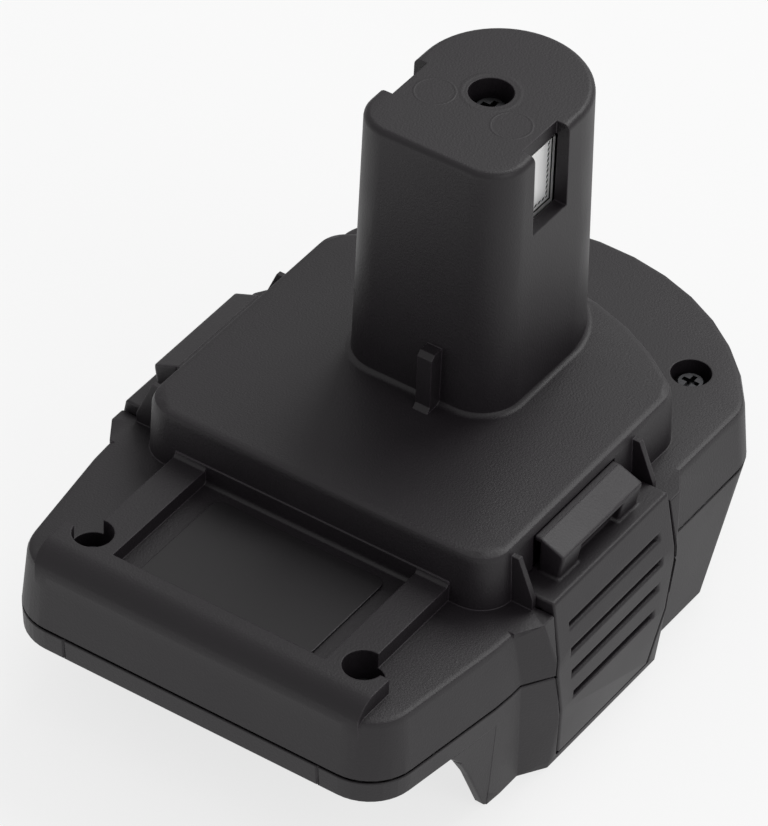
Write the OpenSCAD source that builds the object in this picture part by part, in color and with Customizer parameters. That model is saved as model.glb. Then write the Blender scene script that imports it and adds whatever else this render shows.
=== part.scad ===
// Tool battery adapter: a slide-on battery bay below, a stem plug on top, two sprung side latches.
// Millimetres. X runs from latch to latch, Y from the label end to the round end, Z up.
// The origin is the centre of the underside.

/* [Body outline] */
// Half the width of the body across its straight sides
body_half_w = 40.7; // [39.5:0.1:43]
// Distance from the origin to the front edge, and to the apex of the round end
body_half_l = 62.7; // [61:0.1:66]
// Radius of the two front corners
front_r = 9; // [7:0.5:10]
// Half the distance between the front corner centres
front_corner_x = 28.7; // [27.5:0.1:29.5]
// Angle by which the sides spread behind the front corners
side_spread = 8; // [7:0.5:10]
// Radius of the round end
rear_r = 47; // [46:0.1:50]
// Radius where the spread sides turn straight
spread_r = 30; // [20:1:36]
// How far the skirts lean in towards the underside
skirt_draft = 1.3; // [0.8:0.1:1.6]

/* [Levels] */
// Underside of the bay roof and of the front band
bay_roof_z = 17.8; // [16:0.1:18.2]
// Thickness of the bay roof
roof_t = 2.2; // [1.8:0.1:2.6]
// Parting plane between the two shells
parting_z = 22.4; // [22:0.1:23]
// Height of the shadow gap under the parting plane
shadow_h = 0.4; // [0.3:0.05:0.6]
// Depth of the shadow gap
shadow_d = 0.8; // [0.5:0.1:1]
// Top of the deck
deck_z = 34.2; // [34:0.1:35]
// Top of the raised block round the label
block_z = 37.2; // [36.8:0.1:38.5]
// Top of the plateau under the stem
plateau_z = 45; // [44.6:0.1:48]
// Top of the stem
stem_top_z = 94.3; // [93:0.1:97]

/* [Walls] */
// Wall of both shells
wall = 2.2; // [1.8:0.1:2.4]
// Plate over the plateau
plateau_plate = 1.8; // [1.4:0.1:2]
// How far the upper shell's sides lean in up to the deck
deck_draft = 0.9; // [0.4:0.1:1.5]
// Rounding of the deck's edge
deck_edge_r = 1.2; // [0.6:0.1:2]
// Gap between a loose piece and the piece that guides it
clearance = 0.35; // [0.25:0.05:0.45]

/* [Plateau] */
// Half the width of the plateau
plateau_half_w = 35; // [34.5:0.1:35.3]
// Front edge of the plateau, behind the front end
plateau_front = 33.2; // [31.7:0.1:34.2]
// Corner radius of the plateau
plateau_r = 6; // [4:0.5:8]
// Radius of the plateau's rear edge
plateau_rear_r = 52; // [50:1:60]
// Apex of the plateau's rear edge, behind the origin
plateau_rear = 38.4; // [38.3:0.1:40]
// How far the plateau's sides lean in
plateau_draft = 0.4; // [0:0.1:0.5]
// Rounding of the plateau's top edge
plateau_edge_r = 1.5; // [0.8:0.1:1.7]
// Radius of the fillet at the foot of the plateau's front
plateau_foot = 1; // [0.6:0.1:1.4]

/* [Label block] */
// Half the width of the raised block
block_half_w = 26.85; // [25:0.05:28]
// Half the width of the block's front bar
bar_half_w = 31.6; // [31:0.1:32]
// Rear edge of the front bar, behind the front end
bar_rear = 9.7; // [9.1:0.1:10.3]
// Radius of the bar's rolled front edge
block_front_r = 5; // [4:0.1:5]
// How far the bar's front stays behind the foot of the front wall
block_inset = 0.67; // [0.6:0.01:0.75]
// Half the width of the label pocket
pocket_half_w = 20.7; // [19:0.1:22]
// Depth of the label pocket
pocket_depth = 2.8; // [2:0.1:3]
// Front end of the label pocket, behind the front end
pocket_front = 7.7; // [6.7:0.1:8.7]
// Width of the label plate
label_w = 33.4; // [28:0.1:36]
// Length of the label plate
label_l = 22.5; // [18:0.1:23]
// Gap between the label plate and the pocket's front end
label_gap = 0.6; // [0.3:0.1:1]
// Thickness of the label plate
label_t = 0.5; // [0.3:0.1:1]
// Corner radius of the label plate
label_r = 2; // [1:0.5:4]

/* [Stem] */
// Half the width of the stem at its foot
stem_half_w = 15.8; // [15.5:0.1:16.5]
// Centre of the stem's round back, behind the origin
stem_back_y = 22.1; // [21.5:0.1:23]
// Flat front of the stem, ahead of the origin
stem_front = 0.9; // [0:0.1:2]
// Corner radius at the stem's front
stem_corner_r = 7.5; // [5:0.5:9]
// How far the stem's sides lean in over its height
stem_draft = 0.8; // [0.4:0.1:0.9]
// Rounding of the stem's top edge
stem_edge_r = 1.2; // [0.6:0.1:1.4]
// Wall of the stem
stem_wall = 2.2; // [2:0.1:2.3]
// Thickness of the stem's top
stem_roof = 2.5; // [2:0.1:3]
// Height of the flare at the stem's foot
stem_foot = 1.2; // [0.6:0.1:2]
// Place of the stem screw, behind the origin
stem_screw_y = 18.8; // [18:0.1:20]
// Width of the key rib on the stem's front
key_w = 2.8; // [2.4:0.1:4]
// Centre of the key rib across the stem
key_x = 3.85; // [2.5:0.05:4]
// Height of the key rib above the plateau
key_h = 11.4; // [9:0.1:14]
// How far the key rib stands out
key_out = 2.7; // [2:0.1:4]
// Slope at the key rib's foot and round at its top
key_slope = 0.8; // [0.4:0.1:1.2]

/* [Stem contacts] */
// Half distance between the outer faces of the two contacts
contact_half = 12.5; // [12.2:0.05:12.6]
// Thickness of a contact
contact_t = 0.8; // [0.5:0.1:1]
// Width of a contact window along Y
window_w = 9.9; // [9:0.1:11]
// Height of a contact window, open at the stem's top
window_h = 16; // [13:0.1:18]
// Centre of the contacts, behind the origin
contact_y = 14; // [13.5:0.1:14.5]
// How far a contact's top stays below the stem's top
contact_drop = 2.8; // [2.6:0.1:5]
// Height of a contact
contact_h = 31; // [26:0.5:34]
// Length of the carrier between the contacts
carrier_l = 13.9; // [12:0.1:14]
// Height of the carrier between the contacts
carrier_h = 22; // [18:0.5:24]

/* [Latches] */
// Centre of both latches, ahead of the origin
latch_forward = 5.3; // [5:0.1:6]
// Reach of the grip face from the centre plane
grip_half = 44; // [43.6:0.1:45]
// Top of the latch shelf
shelf_z = 36.2; // [36:0.1:37]
// Thickness of the latch shelf
shelf_t = 2.3; // [1.8:0.1:2.6]
// Half the length of the grip at the shelf
grip_top_half = 16.8; // [16:0.1:17]
// Half the length of the grip at its widest
grip_mid_half = 17.3; // [17:0.1:17.5]
// Half the length of the grip at its lower end
grip_low_half = 13.4; // [13:0.1:14.5]
// Lower end of the grip
grip_low_z = 1.5; // [1.3:0.1:1.8]
// Level at which the grip is longest
grip_mid_z = 22; // [20:0.5:24]
// Lower end of the grip's upright face
grip_face_low = 13; // [11:0.5:14]
// Upper end of the grip's upright face
grip_face_high = 25; // [23:0.5:28]
// How far the grip leans in at its lower end
grip_low_lean = 1.5; // [1:0.1:1.8]
// How far the grip leans in at the shelf
grip_top_lean = 1.8; // [1.2:0.1:2]
// Inner face of the grip's plate, from the centre plane
grip_back = 39.8; // [39.6:0.1:40]
// Wall of a skirt behind its grip
skirt_skin = 1.1; // [0.9:0.1:1.2]
// Half the length of the shell's flare round the grip
flare_half = 17.8; // [17.7:0.1:19]
// Length of the ramp from the flare back to the side
flare_ramp = 6.7; // [5:0.1:8]
// Angle by which the flare's ramps close in towards the underside
flare_lean = 6; // [0:0.5:7]
// Reach of the hook's outer edge from the centre plane
hook_half = 40.3; // [40:0.1:40.6]
// Reach of the hook's inner face from the centre plane
hook_inner = 35.6; // [35.5:0.1:35.9]
// Room behind the hook for its travel
hook_room = 4; // [3.5:0.1:4.5]
// Reach of the shelf's inner edge from the centre plane
shelf_inner = 34.2; // [34:0.1:34.8]
// Room for the shelf's inner edge when the latch is pressed
shelf_travel = 3; // [2.8:0.1:3.2]
// Top of the hook
hook_z = 43; // [42:0.1:43]
// Top of the hook's nose, where its slope ends
hook_nose_z = 41.1; // [40.6:0.1:41.6]
// Height of the nose
lip_h = 0.7; // [0.5:0.1:1.2]
// How far the hook's ends lean in under the nose
hook_undercut = 1; // [0.6:0.1:1.4]
// Depth of the hollow under the nose
lip_depth = 2.2; // [1.6:0.1:2.6]
// Half the length of the hollow under the nose
hook_gap_half = 6; // [5:0.1:7]
// Half the length of the hook
hook_len_half = 11.5; // [10:0.1:12]
// Thickness of the fins at the ends of a latch window
fin_t = 1; // [0.8:0.1:1.4]
// Reach of a fin's top from the centre plane
fin_top = 36; // [35.6:0.1:36.4]
// Reach of a fin's foot from the centre plane
fin_foot = 39; // [38:0.1:39.4]
// Number of grooves in the grip
groove_count = 4; // [2:1:5]
// Spacing of the grooves
groove_pitch = 5.2; // [4:0.1:6]
// Lowest groove
groove_low_z = 13.4; // [12:0.1:15]
// Distance of the grooves' ends from the grip's sides
groove_margin = 3.8; // [2:0.1:5]
// Depth of a groove
groove_depth = 1.6; // [1:0.1:2]
// Width of a groove
groove_w = 1.5; // [1:0.1:2]
// Pivot axis, from the centre plane
pivot_x = 40.2; // [40:0.1:40.4]
// Pivot axis, above the underside
pivot_z = 4; // [3.8:0.1:4.5]
// Radius of the pivot pins moulded on the latch
pivot_r = 1.2; // [1:0.05:1.3]
// Running clearance round a pivot pin
pivot_gap = 0.06; // [0.03:0.01:0.1]
// Half the length over a latch's pivot pins
pivot_half = 15.9; // [15:0.1:16.2]
// Height of the thicker foot of the grip above its pivot
knuckle_h = 3; // [2.5:0.1:4]
// How far the stop flange stands out past the grip's ends
stop_out = 2; // [1.5:0.1:2.3]
// Half the height of the stop flange
stop_half_h = 3.5; // [3:0.1:3.5]

/* [Springs] */
// Mean radius of a latch spring
spring_r = 2.85; // [2.7:0.05:3.2]
// Wire radius of a latch spring
wire_r = 0.35; // [0.25:0.05:0.4]
// Turns of a latch spring
spring_turns = 4.5; // [3.5:0.5:4.5]
// Height of a spring's axis
spring_z = 27.5; // [27:0.1:28]
// Face of the stop flange that the spring presses on, from the centre plane
spring_face = 35.4; // [35:0.1:35.6]
// Face of the spring seat, from the centre plane
seat_half = 29.4; // [28.8:0.1:29.6]
// Width of a spring seat
seat_w = 12; // [10:0.5:14]
// Height of the bosses inside a spring's ends
seat_boss = 1.8; // [1:0.1:2]
// Gap between a spring's inside and its bosses
seat_gap = 0.6; // [0.4:0.1:0.8]

/* [Battery bay] */
// Half the width of the bay between the skirts
bay_half_w = 37.25; // [37:0.05:37.5]
// Front end of the skirts, ahead of the origin
skirt_front = 34.4; // [34:0.1:37]
// Rear end of the bay, behind the origin
bay_rear = 30; // [28:0.1:30.5]
// How far the rails stand in from the skirts
rail_in = 3.8; // [3:0.1:4.5]
// Underside of the rails
rail_z = 5.6; // [5:0.1:8]
// Height of the rails
rail_h = 3.4; // [2.5:0.1:4]
// How far the round end is drawn in at the underside
rear_tuck = 12; // [10:0.1:12.5]
// Length of the lead-in at the skirts' front ends
lead_in_l = 6; // [4:0.5:8]
// Depth of the lead-in
lead_in_d = 1.2; // [0.8:0.1:1.3]
// Distance of the two seams in the front band from the centre plane
seam_x = 24.9; // [20:0.1:27]
// Width and depth of a seam
seam_w = 0.35; // [0.2:0.05:0.5]

/* [Screws] */
// Front case screws, from the centre plane
front_screw_x = 26.4; // [25.5:0.1:27]
// Front case screws, behind the front end
front_screw_y = 10.1; // [9.2:0.1:10.7]
// Rear case screws, from the centre plane
rear_screw_x = 27.8; // [27:0.1:28.5]
// Rear case screws, ahead of the round end's tip
rear_screw_y = 21.6; // [20.7:0.1:22.2]
// Radius of a screw's counterbore
counterbore_r = 3.5; // [3.2:0.1:3.7]
// Depth of the case screws' seat below the deck
case_seat = 3.8; // [3:0.1:4.5]
// Depth of the stem screw's seat below the stem's top
stem_seat = 5; // [4:0.1:5.5]
// Radius of a screw head
head_r = 2.6; // [2.2:0.1:3]
// Radius of the stem screw's head
stem_head_r = 2.9; // [2.4:0.1:3.2]
// Radius of the stem screw's counterbore
stem_bore_r = 3.8; // [3.5:0.1:4]
// Radius of the boss under the stem's top
stem_boss_r = 5.2; // [4.8:0.1:5.6]
// Height of a screw head
head_h = 2; // [1.5:0.1:2.4]
// Radius of a screw's shank
shank_r = 1.3; // [1.1:0.05:1.4]
// Length of a case screw's shank
case_shank = 11.6; // [10:0.1:12]
// Length of the stem screw's shank
stem_shank = 14; // [10:0.1:16]
// Lower end of the rear bosses in the lower shell
rear_boss_z = 11; // [10.8:0.1:13]
// Radius of the bosses that the screws go into
boss_r = 4.4; // [4.2:0.1:4.8]

/* [Board and terminals] */
// Width of the circuit board
board_w = 46; // [40:0.5:48]
// Length of the circuit board
board_l = 52; // [46:0.5:54]
// Thickness of the circuit board
board_t = 1.6; // [1:0.1:2]
// Height of the board's posts above the bay roof
post_h = 3; // [2.5:0.1:4]
// Radius of the board's posts
post_r = 3; // [2.5:0.1:3.5]
// Distance of the posts from the board's edges
post_in = 4; // [3.5:0.1:6]
// How deep a board screw goes into its post
board_bite = 4; // [3:0.1:4.4]
// Width of the terminal block
block_w = 34; // [30:0.5:36]
// Length of the terminal block
terminal_l = 14; // [12:0.1:16]
// Front face of the terminal block, behind the origin
terminal_y = 12; // [10:0.1:16]
// How far the terminal block hangs below the bay roof
terminal_drop = 10; // [8:0.1:11]
// Distance of the power blades from the centre plane
blade_x = 11; // [9:0.1:13]
// Distance of the signal blade from the centre plane
signal_x = 3; // [2:0.1:5]
// Thickness of a blade
blade_t = 0.8; // [0.6:0.1:1]
// Height of a blade
blade_h = 6; // [4:0.1:6.5]
// Height of a blade's lower edge above the block's underside
blade_low = 2; // [1.5:0.1:2.5]
// Width of a blade's tail up to the board
tail_w = 4; // [3:0.1:5]
// Length of a blade ahead of its block
blade_l = 12; // [8:0.1:14]
// Where a lead leaves the board, from the centre plane
lead_x = 6; // [4:0.1:9]
// How far a lead laps the contact's tail
lead_lap = 3; // [2:0.1:4]
// Radius of the two leads
lead_r = 1.1; // [0.8:0.1:1.3]

/* [Hidden] */

$fn = 64;
arc_step = 9;
sliver = 0.01;
over = 1;
black = "#1c1c1d";
steel = "#8b8d90";
nickel = "#c9cacc";
brass = "#b79a52";

corner_y = front_r - body_half_l;
rear_y = body_half_l - rear_r;
latch_y = -latch_forward;
roof_top = bay_roof_z + roof_t;
deck_under = deck_z - wall;
plateau_under = plateau_z - plateau_plate;
stem_roof_z = stem_top_z - stem_roof;
pocket_z = block_z - pocket_depth;
pocket_y = pocket_front - body_half_l;
plateau_y = plateau_front - body_half_l;
seat_z = deck_z - case_seat;
stem_seat_z = stem_top_z - stem_seat;
carrier_top = stem_seat_z - wall;
contact_top = stem_top_z - contact_drop;
contact_low = contact_top - contact_h;
board_z = roof_top + post_h;
pilot_gap = 0.05;
hole_gap = 0.3;
head_less = 0.2;
pilot_r = shank_r + pilot_gap;
hole_r = shank_r + hole_gap;
boss_out = 0.2;
boss_in_r = spring_r - wire_r - seat_gap;
stop_low_z = spring_z - stop_half_h;
flare_root = bay_half_w + over;
case_screws = [
    [-front_screw_x, front_screw_y - body_half_l], [front_screw_x, front_screw_y - body_half_l],
    [-rear_screw_x, body_half_l - rear_screw_y], [rear_screw_x, body_half_l - rear_screw_y]
];

// Outlines are arcs of [centre, radius, start angle, end angle], anticlockwise, each tangent to the next
function body_arcs() = let(
        spread_x = body_half_w - spread_r,
        reach = cos(side_spread) * (spread_x - front_corner_x) + spread_r - front_r,
        spread_y = corner_y + reach / sin(side_spread),
        rear_x = body_half_w - front_r,
        rear_rise = sqrt(pow(rear_r - front_r, 2) - rear_x * rear_x),
        turn = atan2(rear_rise, rear_x))
    concat(
        [[[front_corner_x, corner_y], front_r, -90, -side_spread],
         [[spread_x, spread_y], spread_r, -side_spread, 0],
         [[rear_x, rear_y + rear_rise], front_r, 0, turn],
         [[0, rear_y], rear_r, turn, 180 - turn],
         [[-rear_x, rear_y + rear_rise], front_r, 180 - turn, 180],
         [[-spread_x, spread_y], spread_r, 180, 180 + side_spread],
         [[-front_corner_x, corner_y], front_r, 180 + side_spread, 270]]);

function plateau_arcs() = let(
        side = plateau_half_w - plateau_r,
        rise = sqrt(pow(plateau_rear_r - plateau_r, 2) - side * side),
        rear_y = plateau_rear - plateau_rear_r,
        turn = atan2(rise, side))
    [[[side, plateau_y + plateau_r], plateau_r, -90, 0],
     [[side, rear_y + rise], plateau_r, 0, turn],
     [[0, rear_y], plateau_rear_r, turn, 180 - turn],
     [[-side, rear_y + rise], plateau_r, 180 - turn, 180],
     [[-side, plateau_y + plateau_r], plateau_r, 180, 270]];

function stem_arcs() = let(side = stem_half_w - stem_corner_r, front = stem_corner_r - stem_front)
    [[[side, front], stem_corner_r, -90, 0],
     [[0, stem_back_y], stem_half_w, 0, 180],
     [[-side, front], stem_corner_r, 180, 270]];

// A point of an arc, drawn in by inset
function arc_point(arc, angle, inset) = arc[0] + (arc[1] - inset) * [cos(angle), sin(angle)];

// Flat face of an outline, drawn in by inset
module outline(arcs, inset) {
    polygon([for (arc = arcs) let(turn = arc[3] - arc[2], steps = ceil(turn / arc_step))
        for (i = [0:steps]) arc_point(arc, arc[2] + turn * i / steps, inset)]);
}

// Runs a profile round an outline; its X is the distance out from the outline and its Y is the height
module around(arcs) {
    count = len(arcs);
    for (i = [0:count - 1]) {
        arc = arcs[i];
        next = arcs[(i + 1) % count];
        start = arc_point(arc, arc[3], 0);
        run = norm(arc_point(next, next[2], 0) - start);
        translate(arc[0]) rotate(arc[2]) rotate_extrude(angle = arc[3] - arc[2], $fn = 2 * $fn)
            translate([arc[1], 0]) children();
        if (run > sliver) {
            translate(start) rotate(arc[3]) translate([0, run, 0]) rotate([90, 0, 0])
                linear_extrude(run) children();
        }
    }
}

// A block on an outline: sides that lean in by draft and a rounded top edge
module moulded_block(arcs, low, high, draft, edge_r) {
    depth = draft + edge_r;
    rim = [for (angle = [0:22.5:90])
        [edge_r * (cos(angle) - 1) - draft, high - edge_r * (1 - sin(angle))]];
    around(arcs) polygon(concat([[-depth - over, low], [0, low]], rim, [[-depth - over, high]]));
    translate([0, 0, low]) linear_extrude(high - low) outline(arcs, depth + over / 2);
}

// The same block on an outline whose arcs end at odd angles, as a stack of drawn-in slices
module hulled_block(arcs, low, high, draft, edge_r) {
    hull() {
        translate([0, 0, low]) linear_extrude(sliver) outline(arcs, 0);
        for (angle = [0, 45, 90]) {
            drop = edge_r * (1 - sin(angle));
            translate([0, 0, high - drop - sliver]) linear_extrude(sliver)
                outline(arcs, draft + edge_r * (1 - cos(angle)));
        }
    }
}

// A hollow fillet round the foot of a block
module foot_fillet(arcs, level, radius) {
    sink = 0.2;
    curve = [for (angle = [0:22.5:90])
        [radius * (1 - sin(angle)) - sink, level + radius * (1 - cos(angle))]];
    around(arcs) polygon(concat(
        [[-over, level - over], [radius - sink, level - over]], curve, [[-over, level + radius]]
    ));
}

// Draws its children for the right side and mirrored for the left
module both_sides() {
    children();
    mirror([1, 0, 0]) children();
}

// Extrudes a profile drawn as X and Z along Y, centred on the latches
module along_latch(half) {
    translate([0, latch_y + half, 0]) rotate([90, 0, 0]) linear_extrude(2 * half) children();
}

// Side view of the right grip, as points of Y and Z, grown by gap
module grip_face(gap) {
    polygon([
        [-grip_low_half - gap, grip_low_z - gap], [grip_low_half + gap, grip_low_z - gap],
        [grip_mid_half + gap, grip_mid_z], [grip_top_half + gap, shelf_z + gap],
        [-grip_top_half - gap, shelf_z + gap], [-grip_mid_half - gap, grip_mid_z]
    ]);
}

// A bar across X with the grip's side view
module grip_bar(low_x, high_x, gap) {
    translate([low_x, latch_y, 0]) rotate([90, 0, 90]) linear_extrude(high_x - low_x) grip_face(gap);
}

// Outer contour of the grip, from its lower end to the shelf, as points of X and Z
function grip_contour() = [
    [grip_half - grip_low_lean, grip_low_z], [grip_half, grip_face_low], [grip_half, grip_face_high],
    [grip_half - grip_top_lean, shelf_z]
];

// Reach of the grip's face at a level, and half its length there
function grip_reach(z) = lookup(z, [for (point = grip_contour()) [point[1], point[0]]]);
function grip_span(z) = lookup(z, [
    [grip_low_z, grip_low_half], [grip_mid_z, grip_mid_half], [shelf_z, grip_top_half]
]);

// Flare of the shells round the right grip, between two levels; its ramps lean in towards the underside
module flare(low, high, lean) {
    far = 2 * body_half_l;
    foot_x = grip_half - grip_low_lean * grip_face_low / (grip_face_low - grip_low_z);
    turn = atan2(flare_ramp, grip_half - body_half_w + deck_draft);
    difference() {
        intersection() {
            along_latch(flare_half + flare_ramp) polygon(concat(
                [[flare_root, 0], [foot_x, 0]], grip_contour(), [[flare_root, shelf_z]]
            ));
            translate([0, -far, low]) cube([far, 2 * far, high - low]);
        }
        for (way = [0, 1]) {
            translate([0, latch_y, 0]) mirror([0, way, 0]) translate([grip_half, -flare_half, parting_z])
                rotate([lean, 0, turn]) translate([-far, -far, -far]) cube([2 * far, far, 2 * far]);
        }
    }
}

// Plan of the flare at the parting plane, drawn in by inset; way is 1 on the right and -1 on the left
module flare_plan(way, inset) {
    side = body_half_w - deck_draft - inset;
    end = flare_half + flare_ramp;
    polygon([for (point = [
        [flare_root, -end], [side, -end], [grip_half - inset, -flare_half], [grip_half - inset, flare_half],
        [side, end], [flare_root, end]
    ]) [way * point[0], latch_y + point[1]]]);
}

// Shadow gap all round, cut from the lower shell's top edge
module shadow_gap() {
    translate([0, 0, parting_z - shadow_h]) linear_extrude(shadow_h + over) difference() {
        square(4 * body_half_l, center = true);
        outline(body_arcs(), shadow_d);
        flare_plan(1, shadow_d);
        flare_plan(-1, shadow_d);
    }
}

// Boss that a case screw goes into or through, with its bore
module screw_bore(top_z, low_z, seat, head_hole_r) {
    translate([0, 0, low_z]) cylinder(r = hole_r, h = seat - low_z + sliver);
    translate([0, 0, seat]) cylinder(r = head_hole_r, h = top_z - seat + over);
}

// Pan head screw with a cross recess, head up, seat at the origin
module screw(length, radius) {
    edge = head_h / 4;
    slot = radius / 3;
    slot_half = radius * 0.6;
    tip_r = shank_r / 3;
    difference() {
        union() {
            cylinder(r = radius, h = head_h - edge);
            translate([0, 0, head_h - edge]) cylinder(r1 = radius, r2 = radius - edge, h = edge);
            translate([0, 0, shank_r - length]) cylinder(r = shank_r, h = length - shank_r + sliver);
            translate([0, 0, -length]) cylinder(r1 = tip_r, r2 = shank_r, h = shank_r);
        }
        for (turn = [0, 90]) {
            rotate(turn) translate([-slot_half, -slot / 2, head_h / 2]) cube([2 * slot_half, slot, head_h]);
        }
    }
}

// Sweeps a round section along points; ref is never along the route
module tube(points, radius, sides, ref) {
    count = len(points);
    function along(i) = points[min(i + 1, count - 1)] - points[max(i - 1, 0)];
    function unit(v) = v / norm(v);
    function ring(i) = let(n = unit(cross(ref, along(i))), b = unit(cross(along(i), n)))
        [for (k = [0:sides - 1]) points[i] + radius * (cos(360 * k / sides) * n + sin(360 * k / sides) * b)];
    skin = [for (i = [0:count - 1]) each ring(i)];
    walls = [for (i = [0:count - 2], k = [0:sides - 1])
        let(a = i * sides + k, c = i * sides + (k + 1) % sides)
        each [[a, c + sides, c], [a, a + sides, c + sides]]];
    low_cap = [for (k = [1:sides - 2]) [0, k, k + 1]];
    high = (count - 1) * sides;
    high_cap = [for (k = [1:sides - 2]) [high, high + k + 1, high + k]];
    polyhedron(skin, concat(walls, low_cap, high_cap));
}

// Body of the lower shell, drawn in by inset: the round end leans in towards the underside
module tucked_hull(low, high, inset) {
    hull() {
        translate([0, 0, high - sliver]) linear_extrude(sliver) outline(body_arcs(), inset);
        translate([0, 0, low]) linear_extrude(sliver) intersection() {
            outline(body_arcs(), inset + skirt_draft);
            translate([0, -rear_tuck]) outline(body_arcs(), inset);
        }
    }
}

// Lower half of the case: front band, bay roof, skirts with rails, tucked-in round end
module lower_shell() {
    color(black) difference() {
        union() {
            difference() {
                tucked_hull(0, parting_z, 0);
                translate([-bay_half_w, -2 * body_half_l, -over])
                    cube([2 * bay_half_w, 2 * body_half_l + bay_rear, bay_roof_z + over]);
                translate([-2 * body_half_w, -2 * body_half_l, -over])
                    cube([4 * body_half_w, 2 * body_half_l - skirt_front, bay_roof_z + over]);
                translate([0, 0, roof_top]) linear_extrude(parting_z) outline(body_arcs(), wall);
                intersection() {
                    tucked_hull(wall, parting_z + over, wall);
                    translate([-body_half_w, bay_rear + wall, 0])
                        cube([2 * body_half_w, body_half_l, parting_z + over]);
                }
            }
            both_sides() flare(0, parting_z, flare_lean);
            both_sides() translate([bay_half_w - rail_in, -skirt_front, rail_z])
                cube([rail_in + over, skirt_front + bay_rear + over, rail_h]);
            for (at = case_screws) {
                low = at[1] < 0 ? bay_roof_z : rear_boss_z;
                translate([at[0], at[1], low]) cylinder(r = boss_r, h = parting_z - low);
            }
            for (at = board_posts()) {
                translate([at[0], at[1], bay_roof_z + sliver])
                    cylinder(r = post_r, h = board_z - bay_roof_z - sliver);
            }
            both_sides() {
                translate([seat_half - wall, latch_y - seat_w / 2, bay_roof_z + sliver])
                    cube([wall, seat_w, deck_under - bay_roof_z - clearance]);
                translate([seat_half - over, latch_y, spring_z]) rotate([0, 90, 0])
                    cylinder(r = boss_in_r, h = over + seat_boss);
            }
        }
        both_sides() {
            grip_bar(bay_half_w + skirt_skin, 2 * body_half_w, clearance);
            translate([pivot_x, latch_y, pivot_z]) rotate([90, 0, 0])
                cylinder(r = pivot_r + pivot_gap, h = 2 * (pivot_half + clearance), center = true);
            lead_in();
        }
        shadow_gap();
        for (way = [-1, 1]) {
            translate([way * seam_x - seam_w / 2, -body_half_l - over, bay_roof_z - over])
                cube([seam_w, over + seam_w, parting_z - bay_roof_z + over]);
        }
        for (at = case_screws) {
            translate([at[0], at[1], seat_z - case_shank - hole_gap]) cylinder(r = pilot_r, h = parting_z);
        }
        for (at = board_screws()) {
            translate([at[0], at[1], board_z - board_bite - hole_gap]) cylinder(r = pilot_r, h = parting_z);
        }
        translate([-block_w / 2 - clearance, terminal_y - clearance, 0])
            cube([block_w + 2 * clearance, terminal_l + 2 * clearance, parting_z + over]);
    }
}

// Lead-in at the front end of the right skirt, under the rail
module lead_in() {
    translate([bay_half_w, lead_in_l - skirt_front, 0]) rotate([90, 0, 0]) linear_extrude(lead_in_l + over)
        polygon([[-over, -over], [lead_in_d, -over], [lead_in_d, over], [0, rail_z], [-over, rail_z]]);
}

// Places of the board's posts, and of the two that take a screw
function board_posts() = [for (x = [-1, 1], y = [-1, 1])
    [x * (board_w / 2 - post_in), y * (board_l / 2 - post_in)]];
function board_screws() = [board_posts()[0], board_posts()[3]];

// Upper half of the case: deck, label block, plateau and stem in one moulding
module upper_shell() {
    color(black) difference() {
        union() {
            difference() {
                union() {
                    hulled_block(body_arcs(), parting_z, deck_z, deck_draft, deck_edge_r);
                    hulled_block(plateau_arcs(), deck_under, plateau_z, plateau_draft, plateau_edge_r);
                    label_block();
                    moulded_block(stem_arcs(), plateau_under, stem_top_z, stem_draft, stem_edge_r);
                    intersection() {
                        foot_fillet(stem_arcs(), plateau_z, stem_foot);
                        translate([0, 0, deck_z]) linear_extrude(plateau_z)
                            outline(plateau_arcs(), plateau_edge_r);
                    }
                    key_rib();
                    translate([-block_half_w, 0, 0]) rotate([90, 0, 90]) linear_extrude(2 * block_half_w)
                        plateau_fillet(block_z);
                    both_sides() flare(parting_z, deck_z, 0);
                    both_sides() fins();
                }
                translate([0, 0, parting_z - over]) linear_extrude(deck_under - parting_z + over)
                    outline(body_arcs(), wall + deck_draft);
                translate([0, 0, deck_under - over]) linear_extrude(plateau_under - deck_under + over)
                    outline(plateau_arcs(), plateau_plate + plateau_draft);
                translate([0, 0, plateau_under - over]) linear_extrude(stem_roof_z - plateau_under + over)
                    outline(stem_arcs(), stem_wall + stem_draft);
            }
            for (at = case_screws) {
                translate([at[0], at[1], parting_z])
                    cylinder(r = boss_r + boss_out, h = deck_under - parting_z + over);
            }
            translate([0, stem_screw_y, carrier_top])
                cylinder(r = stem_boss_r, h = stem_roof_z - carrier_top + over);
        }
        for (at = case_screws) {
            translate([at[0], at[1], 0]) screw_bore(block_z, parting_z - over, seat_z, counterbore_r);
        }
        translate([0, stem_screw_y, 0])
            screw_bore(stem_top_z, carrier_top - over, stem_seat_z, stem_bore_r);
        both_sides() {
            grip_bar(shelf_inner - shelf_travel, 2 * body_half_w, clearance);
            translate([hook_inner - hook_room, latch_y - hook_len_half - clearance, shelf_z])
                cube([body_half_w, 2 * (hook_len_half + clearance), plateau_under - shelf_z]);
            translate([contact_half, contact_y - window_w / 2, stem_top_z - window_h])
                cube([stem_half_w, window_w, window_h + over]);
        }
        translate([-pocket_half_w, 0, 0]) rotate([90, 0, 90]) linear_extrude(2 * pocket_half_w) difference() {
            translate([pocket_y, pocket_z]) square([plateau_y - pocket_y, block_z]);
            plateau_fillet(pocket_z);
        }
    }
}

// Section of the fillet at the foot of the plateau's front, as Y and Z, above a level
module plateau_fillet(level) {
    sink = 0.1;
    edge = plateau_y - plateau_foot;
    difference() {
        translate([edge + sink, level - over]) square(plateau_foot - sink + over);
        translate([edge, level + plateau_foot - sink]) circle(plateau_foot);
    }
}

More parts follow.
